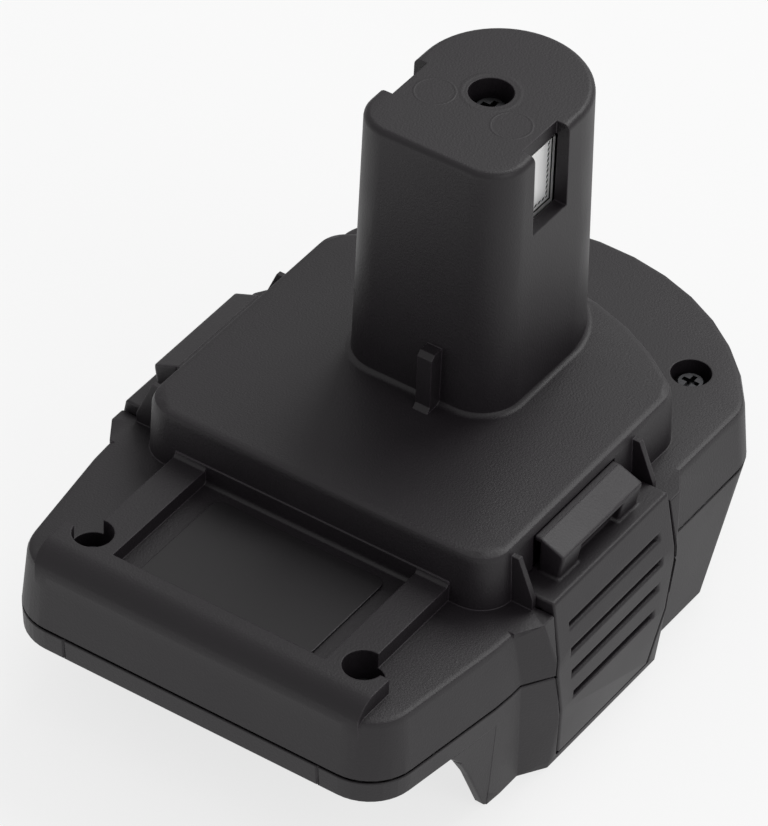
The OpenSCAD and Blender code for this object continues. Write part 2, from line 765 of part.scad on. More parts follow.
// Raised block round the label, with a wider bar in front of the screws that rolls down into the front wall
module label_block() {
    trim = 0.05;
    low = (parting_z + deck_z) / 2;
    roll_y = block_inset + block_front_r - body_half_l - trim;
    roll_z = block_z - block_front_r;
    intersection() {
        translate([0, 0, low]) linear_extrude(block_z) intersection() {
            outline(body_arcs(), block_inset);
            union() {
                translate([-bar_half_w, -body_half_l]) square([2 * bar_half_w, bar_rear]);
                translate([-block_half_w, -body_half_l])
                    square([2 * block_half_w, plateau_front + over]);
            }
        }
        translate([-body_half_w, 0, 0]) rotate([90, 0, 90]) linear_extrude(2 * body_half_w) {
            intersection() {
                translate([roll_y, roll_z]) circle(block_front_r);
                translate([roll_y - block_front_r, roll_z]) square(block_front_r);
            }
            translate([roll_y - block_front_r, 0]) square([block_front_r, roll_z]);
            translate([roll_y, 0]) square([body_half_l, block_z]);
        }
    }
}

// Key rib on the stem's front, with a sloped foot and a rounded top
module key_rib() {
    root = -stem_front + over;
    front = -stem_front - key_out;
    top = plateau_z + key_h;
    translate([key_x - key_w / 2, 0, 0]) rotate([90, 0, 90]) linear_extrude(key_w) polygon([
        [root, plateau_z - over], [front - key_slope, plateau_z - over], [front - key_slope, plateau_z],
        [front, plateau_z + key_slope], [front, top - key_slope], [front + key_slope, top], [root, top]
    ]);
}

// Thin sloped fins of the upper shell at the ends of the right latch window
module fins() {
    top = plateau_z - plateau_edge_r;
    root = plateau_half_w - wall;
    for (way = [-1, 1]) {
        translate([0, way * (grip_top_half + clearance + fin_t / 2), 0]) along_latch(fin_t / 2) polygon([
            [root, deck_under], [fin_foot, deck_under], [fin_foot, shelf_z], [fin_top, top], [root, top]
        ]);
    }
}

// Bare label plate in the block's pocket
module label_plate() {
    place = [0, pocket_y + label_gap + label_l / 2, pocket_z];
    color("#101011") translate(place) linear_extrude(label_t) union() {
        square([label_w - 2 * label_r, label_l], center = true);
        square([label_w, label_l - 2 * label_r], center = true);
        for (x = [-1, 1], y = [-1, 1]) {
            translate([x * (label_w / 2 - label_r), y * (label_l / 2 - label_r)]) circle(label_r);
        }
    }
}

// Right latch: ribbed grip, shelf, hook with lip, stop flange, spring boss and pivot pins
module latch() {
    foot_back = bay_half_w + skirt_skin + clearance;
    flange_half = grip_mid_half + stop_out;
    flange_w = body_half_w - wall - deck_draft - clearance - spring_face;
    nose_under = hook_nose_z - lip_h;
    color(black) difference() {
        union() {
            intersection() {
                along_latch(grip_mid_half + over) polygon(concat(grip_contour(), [
                    [shelf_inner, shelf_z], [shelf_inner, shelf_z - shelf_t], [grip_back, shelf_z - shelf_t],
                    [grip_back, pivot_z + knuckle_h + wall], [foot_back, pivot_z + knuckle_h],
                    [foot_back, grip_low_z]
                ]));
                grip_bar(shelf_inner - over, grip_half + over, 0);
            }
            along_latch(hook_len_half) polygon([
                [hook_inner, shelf_z - over], [hook_inner, hook_z], [hook_half, hook_nose_z],
                [hook_half, nose_under], [hook_half - hook_undercut, shelf_z - over]
            ]);
            translate([spring_face, latch_y - grip_mid_half + over, stop_low_z])
                cube([grip_back - spring_face + over, 2 * (grip_mid_half - over), 2 * stop_half_h]);
            translate([spring_face, latch_y - flange_half, stop_low_z])
                cube([flange_w, 2 * flange_half, 2 * stop_half_h]);
            translate([spring_face + over, latch_y, spring_z]) rotate([0, -90, 0])
                cylinder(r = boss_in_r, h = over + seat_boss);
            translate([pivot_x, latch_y, pivot_z]) rotate([90, 0, 0])
                cylinder(r = pivot_r, h = 2 * pivot_half, center = true);
        }
        along_latch(hook_gap_half) polygon([
            [hook_half - lip_depth, shelf_z], [hook_half + over, shelf_z], [hook_half + over, nose_under],
            [hook_half - lip_depth, nose_under]
        ]);
        for (i = [0:groove_count - 1]) {
            z = groove_low_z + i * groove_pitch;
            face = grip_reach(z);
            along_latch(grip_span(z) - groove_margin) polygon([
                [face - groove_depth, z], [face + over, z],
                [face + over, z + groove_w * (1 + over / groove_depth)]
            ]);
        }
    }
}

module right_latch() {
    latch();
}

module left_latch() {
    mirror([1, 0, 0]) latch();
}

// Compression spring of the right latch, from the seat to the latch's flange
module latch_spring() {
    rings = 8;
    end_gap = wire_r + 2 * sliver;
    length = spring_face - seat_half - 2 * end_gap;
    points = [for (i = [0:spring_turns * rings]) let(turn = 360 * i / rings)
        [seat_half + end_gap + length * i / (spring_turns * rings),
         latch_y + spring_r * cos(turn), spring_z + spring_r * sin(turn)]];
    echo(spring_gap = length / spring_turns - 2 * wire_r);
    color(steel) tube(points, wire_r, 6, [1, 0, 0]);
}

module right_latch_spring() {
    latch_spring();
}

module left_latch_spring() {
    mirror([1, 0, 0]) latch_spring();
}

// Moulded carrier that holds the two contacts apart inside the stem
module contact_carrier() {
    half = contact_half - contact_t;
    color("#2a2a2c") difference() {
        translate([-half, contact_y - window_w / 2, carrier_top - carrier_h])
            cube([2 * half, carrier_l, carrier_h]);
        translate([0, stem_screw_y, stem_seat_z - stem_shank - hole_gap])
            cylinder(r = pilot_r, h = stem_top_z);
    }
}

// Nickel contact behind the right window
module contact() {
    width = window_w - clearance;
    color(nickel) translate([contact_half - contact_t, contact_y - width / 2, contact_low])
        cube([contact_t, width, contact_h]);
}

module right_contact() {
    contact();
}

module left_contact() {
    mirror([1, 0, 0]) contact();
}

// Self-tapping screw in the stem's top
module stem_screw() {
    color(steel) translate([0, stem_screw_y, stem_seat_z]) screw(stem_shank, stem_head_r);
}

// Self-tapping screw through a corner of the case
module case_screw(index) {
    color(steel) translate([case_screws[index][0], case_screws[index][1], seat_z]) screw(case_shank, head_r);
}

// Board on its posts above the bay roof
module circuit_board() {
    color("#1f5a34") difference() {
        translate([-board_w / 2, -board_l / 2, board_z]) cube([board_w, board_l, board_t]);
        for (at = board_screws()) {
            translate([at[0], at[1], 0]) cylinder(r = hole_r, h = 2 * board_z);
        }
    }
}

// Short screw that holds the board on a post
module board_screw(index) {
    at = board_screws()[index];
    color(steel) translate([at[0], at[1], board_z + board_t]) screw(board_t + board_bite, head_r - head_less);
}

// A terminal blade at x: a bar ahead of and inside the block, with a tail up to the board
module blade(x) {
    low = bay_roof_z - terminal_drop + blade_low;
    inside = terminal_l - tail_w;
    translate([x - blade_t / 2, terminal_y - blade_l, low]) cube([blade_t, blade_l + inside, blade_h]);
    translate([x - blade_t / 2, terminal_y + inside - tail_w, low]) cube([blade_t, tail_w, board_z - low]);
}

// Block under the board that carries the blades into the bay
module terminal_block() {
    color("#2a2a2c") difference() {
        translate([-block_w / 2, terminal_y, bay_roof_z - terminal_drop])
            cube([block_w, terminal_l, board_z - bay_roof_z + terminal_drop]);
        for (x = [-blade_x, signal_x, blade_x]) blade(x);
    }
}

module left_power_blade() {
    color(brass) blade(-blade_x);
}

module right_power_blade() {
    color(brass) blade(blade_x);
}

module signal_blade() {
    color(brass) blade(signal_x);
}

// Lead from the board up to a contact's tail, in a loose S
module lead(way, colour) {
    top = contact_low + lead_lap;
    low = board_z + board_t;
    x_top = contact_half - contact_t - lead_r - sliver;
    x_low = lead_x;
    steps = 12;
    points = [for (i = [0:steps]) let(t = i / steps, ease = t * t * (3 - 2 * t))
        [way * (x_low + (x_top - x_low) * ease), contact_y, low + (top - low) * t]];
    color(colour) tube(points, lead_r, 8, [0, 1, 0]);
}

module left_lead() {
    lead(-1, "#1a1a1a");
}

module right_lead() {
    lead(1, "#a3201c");
}

lower_shell();
upper_shell();
label_plate();
left_latch();
right_latch();
left_latch_spring();
right_latch_spring();
contact_carrier();
left_contact();
right_contact();
stem_screw();
case_screw(0);  // front_left_case_screw
case_screw(1);  // front_right_case_screw
case_screw(2);  // rear_left_case_screw
case_screw(3);  // rear_right_case_screw
circuit_board();
board_screw(0);  // front_board_screw
board_screw(1);  // rear_board_screw
terminal_block();
left_power_blade();
right_power_blade();
signal_blade();
left_lead();
right_lead();
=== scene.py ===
import bmesh
import bpy
import math
from mathutils import Matrix, Vector


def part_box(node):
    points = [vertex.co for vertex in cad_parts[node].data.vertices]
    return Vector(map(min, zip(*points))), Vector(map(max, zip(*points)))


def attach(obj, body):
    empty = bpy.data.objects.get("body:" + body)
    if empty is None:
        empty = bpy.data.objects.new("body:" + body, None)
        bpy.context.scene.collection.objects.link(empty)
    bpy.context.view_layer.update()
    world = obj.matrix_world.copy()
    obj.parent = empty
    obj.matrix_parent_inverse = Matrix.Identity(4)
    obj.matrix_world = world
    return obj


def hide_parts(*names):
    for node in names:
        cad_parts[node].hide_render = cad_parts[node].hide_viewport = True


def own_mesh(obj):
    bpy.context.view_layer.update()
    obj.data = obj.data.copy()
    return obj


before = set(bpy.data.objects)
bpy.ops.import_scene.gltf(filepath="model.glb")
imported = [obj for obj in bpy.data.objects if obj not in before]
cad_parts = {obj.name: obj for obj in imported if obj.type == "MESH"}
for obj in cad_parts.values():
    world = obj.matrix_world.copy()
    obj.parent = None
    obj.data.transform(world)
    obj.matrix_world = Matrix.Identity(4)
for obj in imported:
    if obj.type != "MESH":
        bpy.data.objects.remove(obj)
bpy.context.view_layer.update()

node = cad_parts
scene = bpy.context.scene
scene.view_settings.view_transform = "Standard"

# Photo camera: a long lens a little over a metre away, above the front right corner of the adapter.
# It stands on a tripod that leans by two degrees, as the photograph does.
MM = 0.001
view_turn = math.radians(33.13)
view_rise = math.radians(40.58)
view_lean = math.radians(2.16)
view_distance = 1152.9 * MM
view_target = Vector((-7.96, 3.15, 33.41)) * MM
focal_pixels = 7000.0
frame_pixels = 826.0
towards_camera = Vector((
    math.sin(view_turn) * math.cos(view_rise),
    -math.cos(view_turn) * math.cos(view_rise),
    math.sin(view_rise),
))
camera_data = bpy.data.cameras.new("photo_camera")
camera_data.sensor_width = 36.0
camera_data.lens = focal_pixels / frame_pixels * camera_data.sensor_width
camera_data.clip_start = 0.05
camera = bpy.data.objects.new("photo_camera", camera_data)
scene.collection.objects.link(camera)
turned = towards_camera.to_track_quat("Z", "Y").to_matrix().to_4x4() @ Matrix.Rotation(view_lean, 4, "Z")
camera.matrix_world = Matrix.Translation(view_target + towards_camera * view_distance) @ turned
scene.camera = camera

# Table and tent: the adapter stands on a sweep of matt white paper inside a white light tent.
# Two soft panels outside the tent, one at the right and one behind, give the edges their light.
paper_white = (0.86, 0.86, 0.86, 1.0)
paper_roughness = 0.9
paper_seen_white = 0.75
paper_half = 3.0
paper_drop = 0.2 * MM
tent_white = (1.0, 1.0, 1.0, 1.0)
tent_strength = 0.52


def wire(tree, pairs):
    for start, end in pairs:
        tree.links.new(start, end)


def finished_piece(bm, name, material):
    mesh = bpy.data.meshes.new(name)
    bm.to_mesh(mesh)
    bm.free()
    mesh.materials.append(material)
    piece = bpy.data.objects.new(name, mesh)
    scene.collection.objects.link(piece)
    return piece


def soft_panel(name, place, size, power):
    panel_data = bpy.data.lights.new(name, "AREA")
    panel_data.shape = "DISK"
    panel_data.size = size
    panel_data.energy = power
    panel = bpy.data.objects.new(name, panel_data)
    scene.collection.objects.link(panel)
    panel.location = place
    panel.rotation_euler = (Vector(place) - view_target).to_track_quat("Z", "Y").to_euler()


paper = bpy.data.materials.new("white_paper")
paper.use_nodes = True
paper_nodes = paper.node_tree.nodes
paper_shader = paper_nodes["Principled BSDF"]
paper_shader.inputs["Base Color"].default_value = paper_white
paper_shader.inputs["Roughness"].default_value = paper_roughness
seen_white = paper_nodes.new("ShaderNodeEmission")
ray_kind = paper_nodes.new("ShaderNodeLightPath")
camera_or_gloss = paper_nodes.new("ShaderNodeMath")
camera_or_gloss.operation = "ADD"
seen_rays = paper_nodes.new("ShaderNodeMath")
seen_rays.operation = "ADD"
white_share = paper_nodes.new("ShaderNodeMath")
white_share.operation = "MULTIPLY"
white_share.inputs[1].default_value = paper_seen_white
paper_mix = paper_nodes.new("ShaderNodeMixShader")
wire(paper.node_tree, (
    (ray_kind.outputs["Is Camera Ray"], camera_or_gloss.inputs[0]),
    (ray_kind.outputs["Is Glossy Ray"], camera_or_gloss.inputs[1]),
    (camera_or_gloss.outputs["Value"], seen_rays.inputs[0]),
    (ray_kind.outputs["Is Transmission Ray"], seen_rays.inputs[1]),
    (seen_rays.outputs["Value"], white_share.inputs[0]),
    (white_share.outputs["Value"], paper_mix.inputs["Fac"]),
    (paper_shader.outputs["BSDF"], paper_mix.inputs[1]),
    (seen_white.outputs["Emission"], paper_mix.inputs[2]),
    (paper_mix.outputs["Shader"], paper_nodes["Material Output"].inputs["Surface"]),
))
bm = bmesh.new()
paper_place = Matrix.Translation((0.0, 0.0, -paper_drop))
bmesh.ops.create_grid(bm, x_segments=1, y_segments=1, size=paper_half, matrix=paper_place)
paper_sweep = finished_piece(bm, "paper_sweep", paper)

tent = bpy.data.worlds.new("light_tent")
tent.use_nodes = True
tent_light = tent.node_tree.nodes["Background"]
tent_light.inputs["Color"].default_value = tent_white
tent_light.inputs["Strength"].default_value = tent_strength
scene.world = tent
soft_panel("panel_right", place=(1.1, -0.25, 0.8), size=0.8, power=3.0)
soft_panel("panel_back", place=(0.1, 0.9, 1.1), size=0.9, power=9.0)

# Lower shell: the tray with the battery bay, the skirts and the tucked-in round end, in black
# glass-filled nylon from a spark-eroded mould. Four screws from above hold it to the upper shell.
# Its edges are slightly rounded, except down at the bores where the latches' pins turn.
plastic_sheen = 0.5
spark_scale = 2600.0
spark_detail = 3.0
flow_scale = 55.0
flow_detail = 4.0
grain_depth = 0.08 * MM
tone_swing = 0.2
gloss_swing = 0.06
edge_begins = 0.99
edge_full = 0.8
edge_samples = 6
weld_distance = 0.002 * MM
crease_angle = math.radians(32.0)
case_black = (0.0088, 0.0064, 0.0088)
mould_round = 0.2 * MM
pivot_top = 7.0 * MM


def toned(colour, by):
    return (*[min(1.0, by * c) for c in colour], 1.0)


def moulded_plastic(name, colour, roughness, grain, edge_radius, edge_wear_and_highlight):
    material = bpy.data.materials.new(name)
    material.use_nodes = True
    tree = material.node_tree
    shader = tree.nodes["Principled BSDF"]
    shader.inputs["Specular IOR Level"].default_value = plastic_sheen
    place = tree.nodes.new("ShaderNodeTexCoord")
    sparks = tree.nodes.new("ShaderNodeTexNoise")
    sparks.inputs["Scale"].default_value = spark_scale
    sparks.inputs["Detail"].default_value = spark_detail
    flow = tree.nodes.new("ShaderNodeTexNoise")
    flow.inputs["Scale"].default_value = flow_scale
    flow.inputs["Detail"].default_value = flow_detail
    edge = tree.nodes.new("ShaderNodeBevel")
    edge.samples = edge_samples
    edge.inputs["Radius"].default_value = edge_radius
    bump = tree.nodes.new("ShaderNodeBump")
    bump.inputs["Strength"].default_value = grain
    bump.inputs["Distance"].default_value = grain_depth
    tint = tree.nodes.new("ShaderNodeMix")
    tint.data_type = "RGBA"
    tint.inputs["A"].default_value = toned(colour, 1.0 - tone_swing)
    tint.inputs["B"].default_value = toned(colour, 1.0 + tone_swing)
    gloss = tree.nodes.new("ShaderNodeMapRange")
    gloss.inputs["To Min"].default_value = roughness - gloss_swing
    gloss.inputs["To Max"].default_value = roughness + gloss_swing
    surface = tree.nodes.new("ShaderNodeNewGeometry")
    turned_edge = tree.nodes.new("ShaderNodeVectorMath")
    turned_edge.operation = "DOT_PRODUCT"
    edge_mask = tree.nodes.new("ShaderNodeMapRange")
    edge_mask.inputs["From Min"].default_value = edge_begins
    edge_mask.inputs["From Max"].default_value = edge_full
    patchy = tree.nodes.new("ShaderNodeMath")
    patchy.operation = "MULTIPLY"
    # Edges are painted lighter: worn edges on most parts, and on the label film a painted highlight round
    # its outline.
    rubbed_and_lit_edges = tree.nodes.new("ShaderNodeMix")
    rubbed_and_lit_edges.data_type = "RGBA"
    rubbed_and_lit_edges.inputs["B"].default_value = toned(colour, edge_wear_and_highlight)
    wire(tree, (
        (place.outputs["Object"], sparks.inputs["Vector"]),
        (place.outputs["Object"], flow.inputs["Vector"]),
        (sparks.outputs["Fac"], bump.inputs["Height"]),
        (edge.outputs["Normal"], bump.inputs["Normal"]),
        (edge.outputs["Normal"], turned_edge.inputs[0]),
        (surface.outputs["Normal"], turned_edge.inputs[1]),
        (turned_edge.outputs["Value"], edge_mask.inputs["Value"]),
        (edge_mask.outputs["Result"], patchy.inputs[0]),
        (flow.outputs["Fac"], patchy.inputs[1]),
        (patchy.outputs["Value"], rubbed_and_lit_edges.inputs["Factor"]),
        (flow.outputs["Fac"], tint.inputs["Factor"]),
        (flow.outputs["Fac"], gloss.inputs["Value"]),
        (tint.outputs["Result"], rubbed_and_lit_edges.inputs["A"]),
        (rubbed_and_lit_edges.outputs["Result"], shader.inputs["Base Color"]),
        (gloss.outputs["Result"], shader.inputs["Roughness"]),
        (bump.outputs["Normal"], shader.inputs["Normal"]),
    ))
    return material


curves_smooth = bpy.data.node_groups.new("curves_smooth", "GeometryNodeTree")
curves_smooth.is_modifier = True
group_sockets = curves_smooth.interface
group_sockets.new_socket("Geometry", in_out="INPUT", socket_type="NodeSocketGeometry")
group_sockets.new_socket("Geometry", in_out="OUTPUT", socket_type="NodeSocketGeometry")
round_from = group_sockets.new_socket("Round From", in_out="INPUT", socket_type="NodeSocketFloat")
round_to = group_sockets.new_socket("Round To", in_out="INPUT", socket_type="NodeSocketFloat")


def comparison(operation):
    test = curves_smooth.nodes.new("FunctionNodeCompare")
    test.data_type = "FLOAT"
    test.operation = operation
    return test


solid_in = curves_smooth.nodes.new("NodeGroupInput")
solid_out = curves_smooth.nodes.new("NodeGroupOutput")
weld = curves_smooth.nodes.new("GeometryNodeMergeByDistance")
weld.inputs["Distance"].default_value = weld_distance
soften = curves_smooth.nodes.new("GeometryNodeSetShadeSmooth")
fold = curves_smooth.nodes.new("GeometryNodeInputMeshEdgeAngle")
steep = comparison("GREATER_THAN")
steep.inputs["B"].default_value = crease_angle
crease = curves_smooth.nodes.new("GeometryNodeSetShadeSmooth")
crease.domain = "EDGE"
crease.inputs["Shade Smooth"].default_value = False
spot = curves_smooth.nodes.new("GeometryNodeInputPosition")
spot_parts = curves_smooth.nodes.new("ShaderNodeSeparateXYZ")
high_enough = comparison("GREATER_THAN")
low_enough = comparison("LESS_THAN")
in_reach = curves_smooth.nodes.new("FunctionNodeBooleanMath")
steep_in_reach = curves_smooth.nodes.new("FunctionNodeBooleanMath")
round_these = curves_smooth.nodes.new("GeometryNodeStoreNamedAttribute")
round_these.domain = "EDGE"
round_these.inputs["Name"].default_value = "bevel_weight_edge"
wire(curves_smooth, (
    (solid_in.outputs["Geometry"], weld.inputs["Geometry"]),
    (weld.outputs["Geometry"], soften.inputs["Geometry"]),
    (soften.outputs["Geometry"], crease.inputs["Geometry"]),
    (fold.outputs["Unsigned Angle"], steep.inputs["A"]),
    (steep.outputs["Result"], crease.inputs["Selection"]),
    (spot.outputs["Position"], spot_parts.inputs["Vector"]),
    (spot_parts.outputs["Z"], high_enough.inputs["A"]),
    (solid_in.outputs["Round From"], high_enough.inputs["B"]),
    (spot_parts.outputs["Z"], low_enough.inputs["A"]),
    (solid_in.outputs["Round To"], low_enough.inputs["B"]),
    (high_enough.outputs["Result"], in_reach.inputs[0]),
    (low_enough.outputs["Result"], in_reach.inputs[1]),
    (steep.outputs["Result"], steep_in_reach.inputs[0]),
    (in_reach.outputs["Boolean"], steep_in_reach.inputs[1]),
    (steep_in_reach.outputs["Boolean"], round_these.inputs["Value"]),
    (crease.outputs["Geometry"], round_these.inputs["Geometry"]),
    (round_these.outputs["Geometry"], solid_out.inputs["Geometry"]),
))


def dress(name, material, edge_round=0.0, lowest=0.0, highest=1.0):
    piece = node[name]
    piece.data.materials.clear()
    piece.data.materials.append(material)
    rounds = piece.modifiers.new("smooth_curves", "NODES")
    rounds.node_group = curves_smooth
    rounds[round_from.identifier] = lowest
    rounds[round_to.identifier] = highest
    if edge_round:
        edges = piece.modifiers.new("mould_rounds", "BEVEL")
        edges.width = edge_round
        edges.segments = 2
        edges.limit_method = "WEIGHT"
        edges.use_clamp_overlap = False
        edges.loop_slide = True
    flats = piece.modifiers.new("even_flats", "WEIGHTED_NORMAL")
    flats.mode = "FACE_AREA"
    flats.keep_sharp = True


case_plastic = moulded_plastic(
    "case_plastic", case_black, roughness=0.5, grain=0.55, edge_radius=0.3 * MM, edge_wear_and_highlight=5.0,
)
dress("lower_shell", case_plastic, mould_round, lowest=pivot_top)

# Skirt webs: the front edge of each skirt leans forward in a web up to the front band's underside.
# Each is one moulding with the lower shell, and stays outside the width that the battery needs.
web_back_y = -34.3
web_top_z = 17.9
web_front = [(-35.2, 0.5), (-40.0, 10.7), (-42.2, 14.6), (-45.0, web_top_z)]
web_side = [(web_back_y, 0.0), *web_front, (web_back_y, web_top_z)]
web_inner_x = 37.25
web_foot_x = 39.12
web_widen = 0.058
web_taper = 0.135
web_round = 0.3 * MM
web_slack = 0.1
for side, way in (("left", -1.0), ("right", 1.0)):
    bm = bmesh.new()
    inner = bm.faces.new([bm.verts.new(Vector((way * web_inner_x, y, z)) * MM) for y, z in web_side])
    grown = bmesh.ops.extrude_face_region(bm, geom=[inner])["geom"]
    for corner in [v for v in grown if isinstance(v, bmesh.types.BMVert)]:
        y, z = corner.co.y / MM, corner.co.z / MM
        corner.co.x = way * (web_foot_x + web_widen * z + web_taper * (y - web_back_y)) * MM
    bmesh.ops.recalc_face_normals(bm, faces=bm.faces[:])
    free_y = (web_back_y - web_slack) * MM
    free_z = (web_top_z - web_slack) * MM
    free_edges = [e for e in bm.edges if all(v.co.y < free_y and v.co.z < free_z for v in e.verts)]
    bmesh.ops.bevel(
        bm, geom=free_edges, offset=web_round, segments=2, profile=0.5, affect="EDGES", material=-1,
    )
    web = finished_piece(bm, f"{side}_skirt_web", case_plastic)
    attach(web, "case")

# Upper shell: deck, label block, plateau and hollow stem in one moulding of the same nylon.
# It has a window for each latch and each contact, and takes the screws' heads in counterbores.
# The mould's ejector pins and the screw hole's core leave faint rings on the stem's top.
rim_top = 31.0 * MM
stem_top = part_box("upper_shell")[1].z
ring_marks = [((0.0, 18.8), 4.8, 0.6), ((7.4, 13.6), 3.4, 0.3), ((-7.4, 13.6), 3.4, 0.3)]
ring_strength = 0.35
ring_depth = 0.08 * MM
shell_plastic = case_plastic.copy()
shell_plastic.name = "shell_plastic"
shell_nodes = shell_plastic.node_tree.nodes
shell_place = next(n for n in shell_nodes if n.bl_idname == "ShaderNodeTexCoord")
shell_grain = next(n for n in shell_nodes if n.bl_idname == "ShaderNodeBump")
shell_edge = next(n for n in shell_nodes if n.bl_idname == "ShaderNodeBevel")
last_normal = shell_edge.outputs["Normal"]
for (ring_x, ring_y), ring_r, ring_w in ring_marks:
    from_middle = shell_nodes.new("ShaderNodeVectorMath")
    from_middle.operation = "DISTANCE"
    from_middle.inputs[1].default_value = (ring_x * MM, ring_y * MM, stem_top)
    off_ring = shell_nodes.new("ShaderNodeMath")
    off_ring.operation = "SUBTRACT"
    off_ring.inputs[1].default_value = ring_r * MM
    either_way = shell_nodes.new("ShaderNodeMath")
    either_way.operation = "ABSOLUTE"
    ring_rise = shell_nodes.new("ShaderNodeMapRange")
    ring_rise.interpolation_type = "SMOOTHSTEP"
    ring_rise.inputs["From Max"].default_value = ring_w * MM
    ring_rise.inputs["To Min"].default_value = 1.0
    ring_rise.inputs["To Max"].default_value = 0.0
    ring_bump = shell_nodes.new("ShaderNodeBump")
    ring_bump.inputs["Strength"].default_value = ring_strength
    ring_bump.inputs["Distance"].default_value = ring_depth
    wire(shell_plastic.node_tree, (
        (shell_place.outputs["Object"], from_middle.inputs[0]),
        (from_middle.outputs["Value"], off_ring.inputs[0]),
        (off_ring.outputs["Value"], either_way.inputs[0]),
        (either_way.outputs["Value"], ring_rise.inputs["Value"]),
        (ring_rise.outputs["Result"], ring_bump.inputs["Height"]),
        (last_normal, ring_bump.inputs["Normal"]),
    ))
    last_normal = ring_bump.outputs["Normal"]
wire(shell_plastic.node_tree, [(last_normal, shell_grain.inputs["Normal"])])
dress("upper_shell", shell_plastic, mould_round, highest=rim_top)

# Label plate: a thin stamped plate with a bare satin film, glued into the pocket at the front end.
# The film is smoother than the case around it, so it shows a softer, more even gloss.
# The film's edges are painted much lighter than the case's edges, a painted highlight round its outline.
film_black = (0.0065, 0.0052, 0.0065)
label_film = moulded_plastic(
    "label_film", film_black, roughness=0.42, grain=0.06, edge_radius=0.25 * MM, edge_wear_and_highlight=14.0,
)
dress("label_plate", label_film)

# Latches: a ribbed grip with a hook above and pivot pins below, each one moulding of plain nylon.
# The pins snap into bores of the lower shell, and the grip sits in the gap between the two shells.
latch_black = (0.0095, 0.007, 0.0095)
latch_round = 0.35 * MM
latch_plastic = moulded_plastic(
    "latch_plastic", latch_black, roughness=0.5, grain=0.45, edge_radius=0.6 * MM, edge_wear_and_highlight=4.0,
)
for side in ("left", "right"):
    dress(f"{side}_latch", latch_plastic, latch_round, lowest=pivot_top)

# Hook heels: the inner edge of each hook's top reaches in under the plateau's rim, so that no gap
# shows above the window. Each is one moulding with its latch and moves with it.
heel_low = Vector((34.5, -16.7, 42.1)) * MM
heel_high = Vector((35.9, 6.1, 42.95)) * MM
heel_size = heel_high - heel_low
heel_round = 0.15 * MM
for side, way in (("left", -1.0), ("right", 1.0)):
    heel_middle = (heel_low + heel_high) / 2.0
    heel_middle.x *= way
    heel_place = Matrix.Translation(heel_middle) @ Matrix.Diagonal((*heel_size, 1.0))
    bm = bmesh.new()
    bmesh.ops.create_cube(bm, size=1.0, matrix=heel_place)
    bmesh.ops.bevel(
        bm, geom=bm.edges[:], offset=heel_round, segments=2, profile=0.5, affect="EDGES", material=-1,
    )
    heel = finished_piece(bm, f"{side}_hook_heel", latch_plastic)
    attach(heel, f"{side}_latch")

# Latch springs: compression springs coiled from drawn steel wire, one behind each grip.
# Each stands on a seat of the lower shell and pushes its latch out.
streak_size = 900.0
streak_detail = 4.0
scuff_strength = 0.15
scuff_depth = 0.03 * MM
metal_dark = 0.85
metal_light = 1.1
metal_gloss_swing = 0.08
evenly = (1.0, 1.0, 1.0)
wire_r = 0.35 * MM
wire_sides = 12
spring_turns = 4.5
steps_a_turn = 36


def brushed_metal(name, colour, roughness, streak_scale):
    material = bpy.data.materials.new(name)
    material.use_nodes = True
    tree = material.node_tree
    shader = tree.nodes["Principled BSDF"]
    shader.inputs["Metallic"].default_value = 1.0
    place = tree.nodes.new("ShaderNodeTexCoord")
    stretch = tree.nodes.new("ShaderNodeMapping")
    stretch.inputs["Scale"].default_value = streak_scale
    streaks = tree.nodes.new("ShaderNodeTexNoise")
    streaks.inputs["Scale"].default_value = streak_size
    streaks.inputs["Detail"].default_value = streak_detail
    scuff = tree.nodes.new("ShaderNodeBump")
    scuff.inputs["Strength"].default_value = scuff_strength
    scuff.inputs["Distance"].default_value = scuff_depth
    tint = tree.nodes.new("ShaderNodeMix")
    tint.data_type = "RGBA"
    tint.inputs["A"].default_value = toned(colour, metal_dark)
    tint.inputs["B"].default_value = toned(colour, metal_light)
    gloss = tree.nodes.new("ShaderNodeMapRange")
    gloss.inputs["To Min"].default_value = roughness - metal_gloss_swing
    gloss.inputs["To Max"].default_value = roughness + metal_gloss_swing
    wire(tree, (
        (place.outputs["Object"], stretch.inputs["Vector"]),
        (stretch.outputs["Vector"], streaks.inputs["Vector"]),
        (streaks.outputs["Fac"], tint.inputs["Factor"]),
        (streaks.outputs["Fac"], gloss.inputs["Value"]),
        (streaks.outputs["Fac"], scuff.inputs["Height"]),
        (tint.outputs["Result"], shader.inputs["Base Color"]),
        (gloss.outputs["Result"], shader.inputs["Roughness"]),
        (scuff.outputs["Normal"], shader.inputs["Normal"]),
    ))
    return material


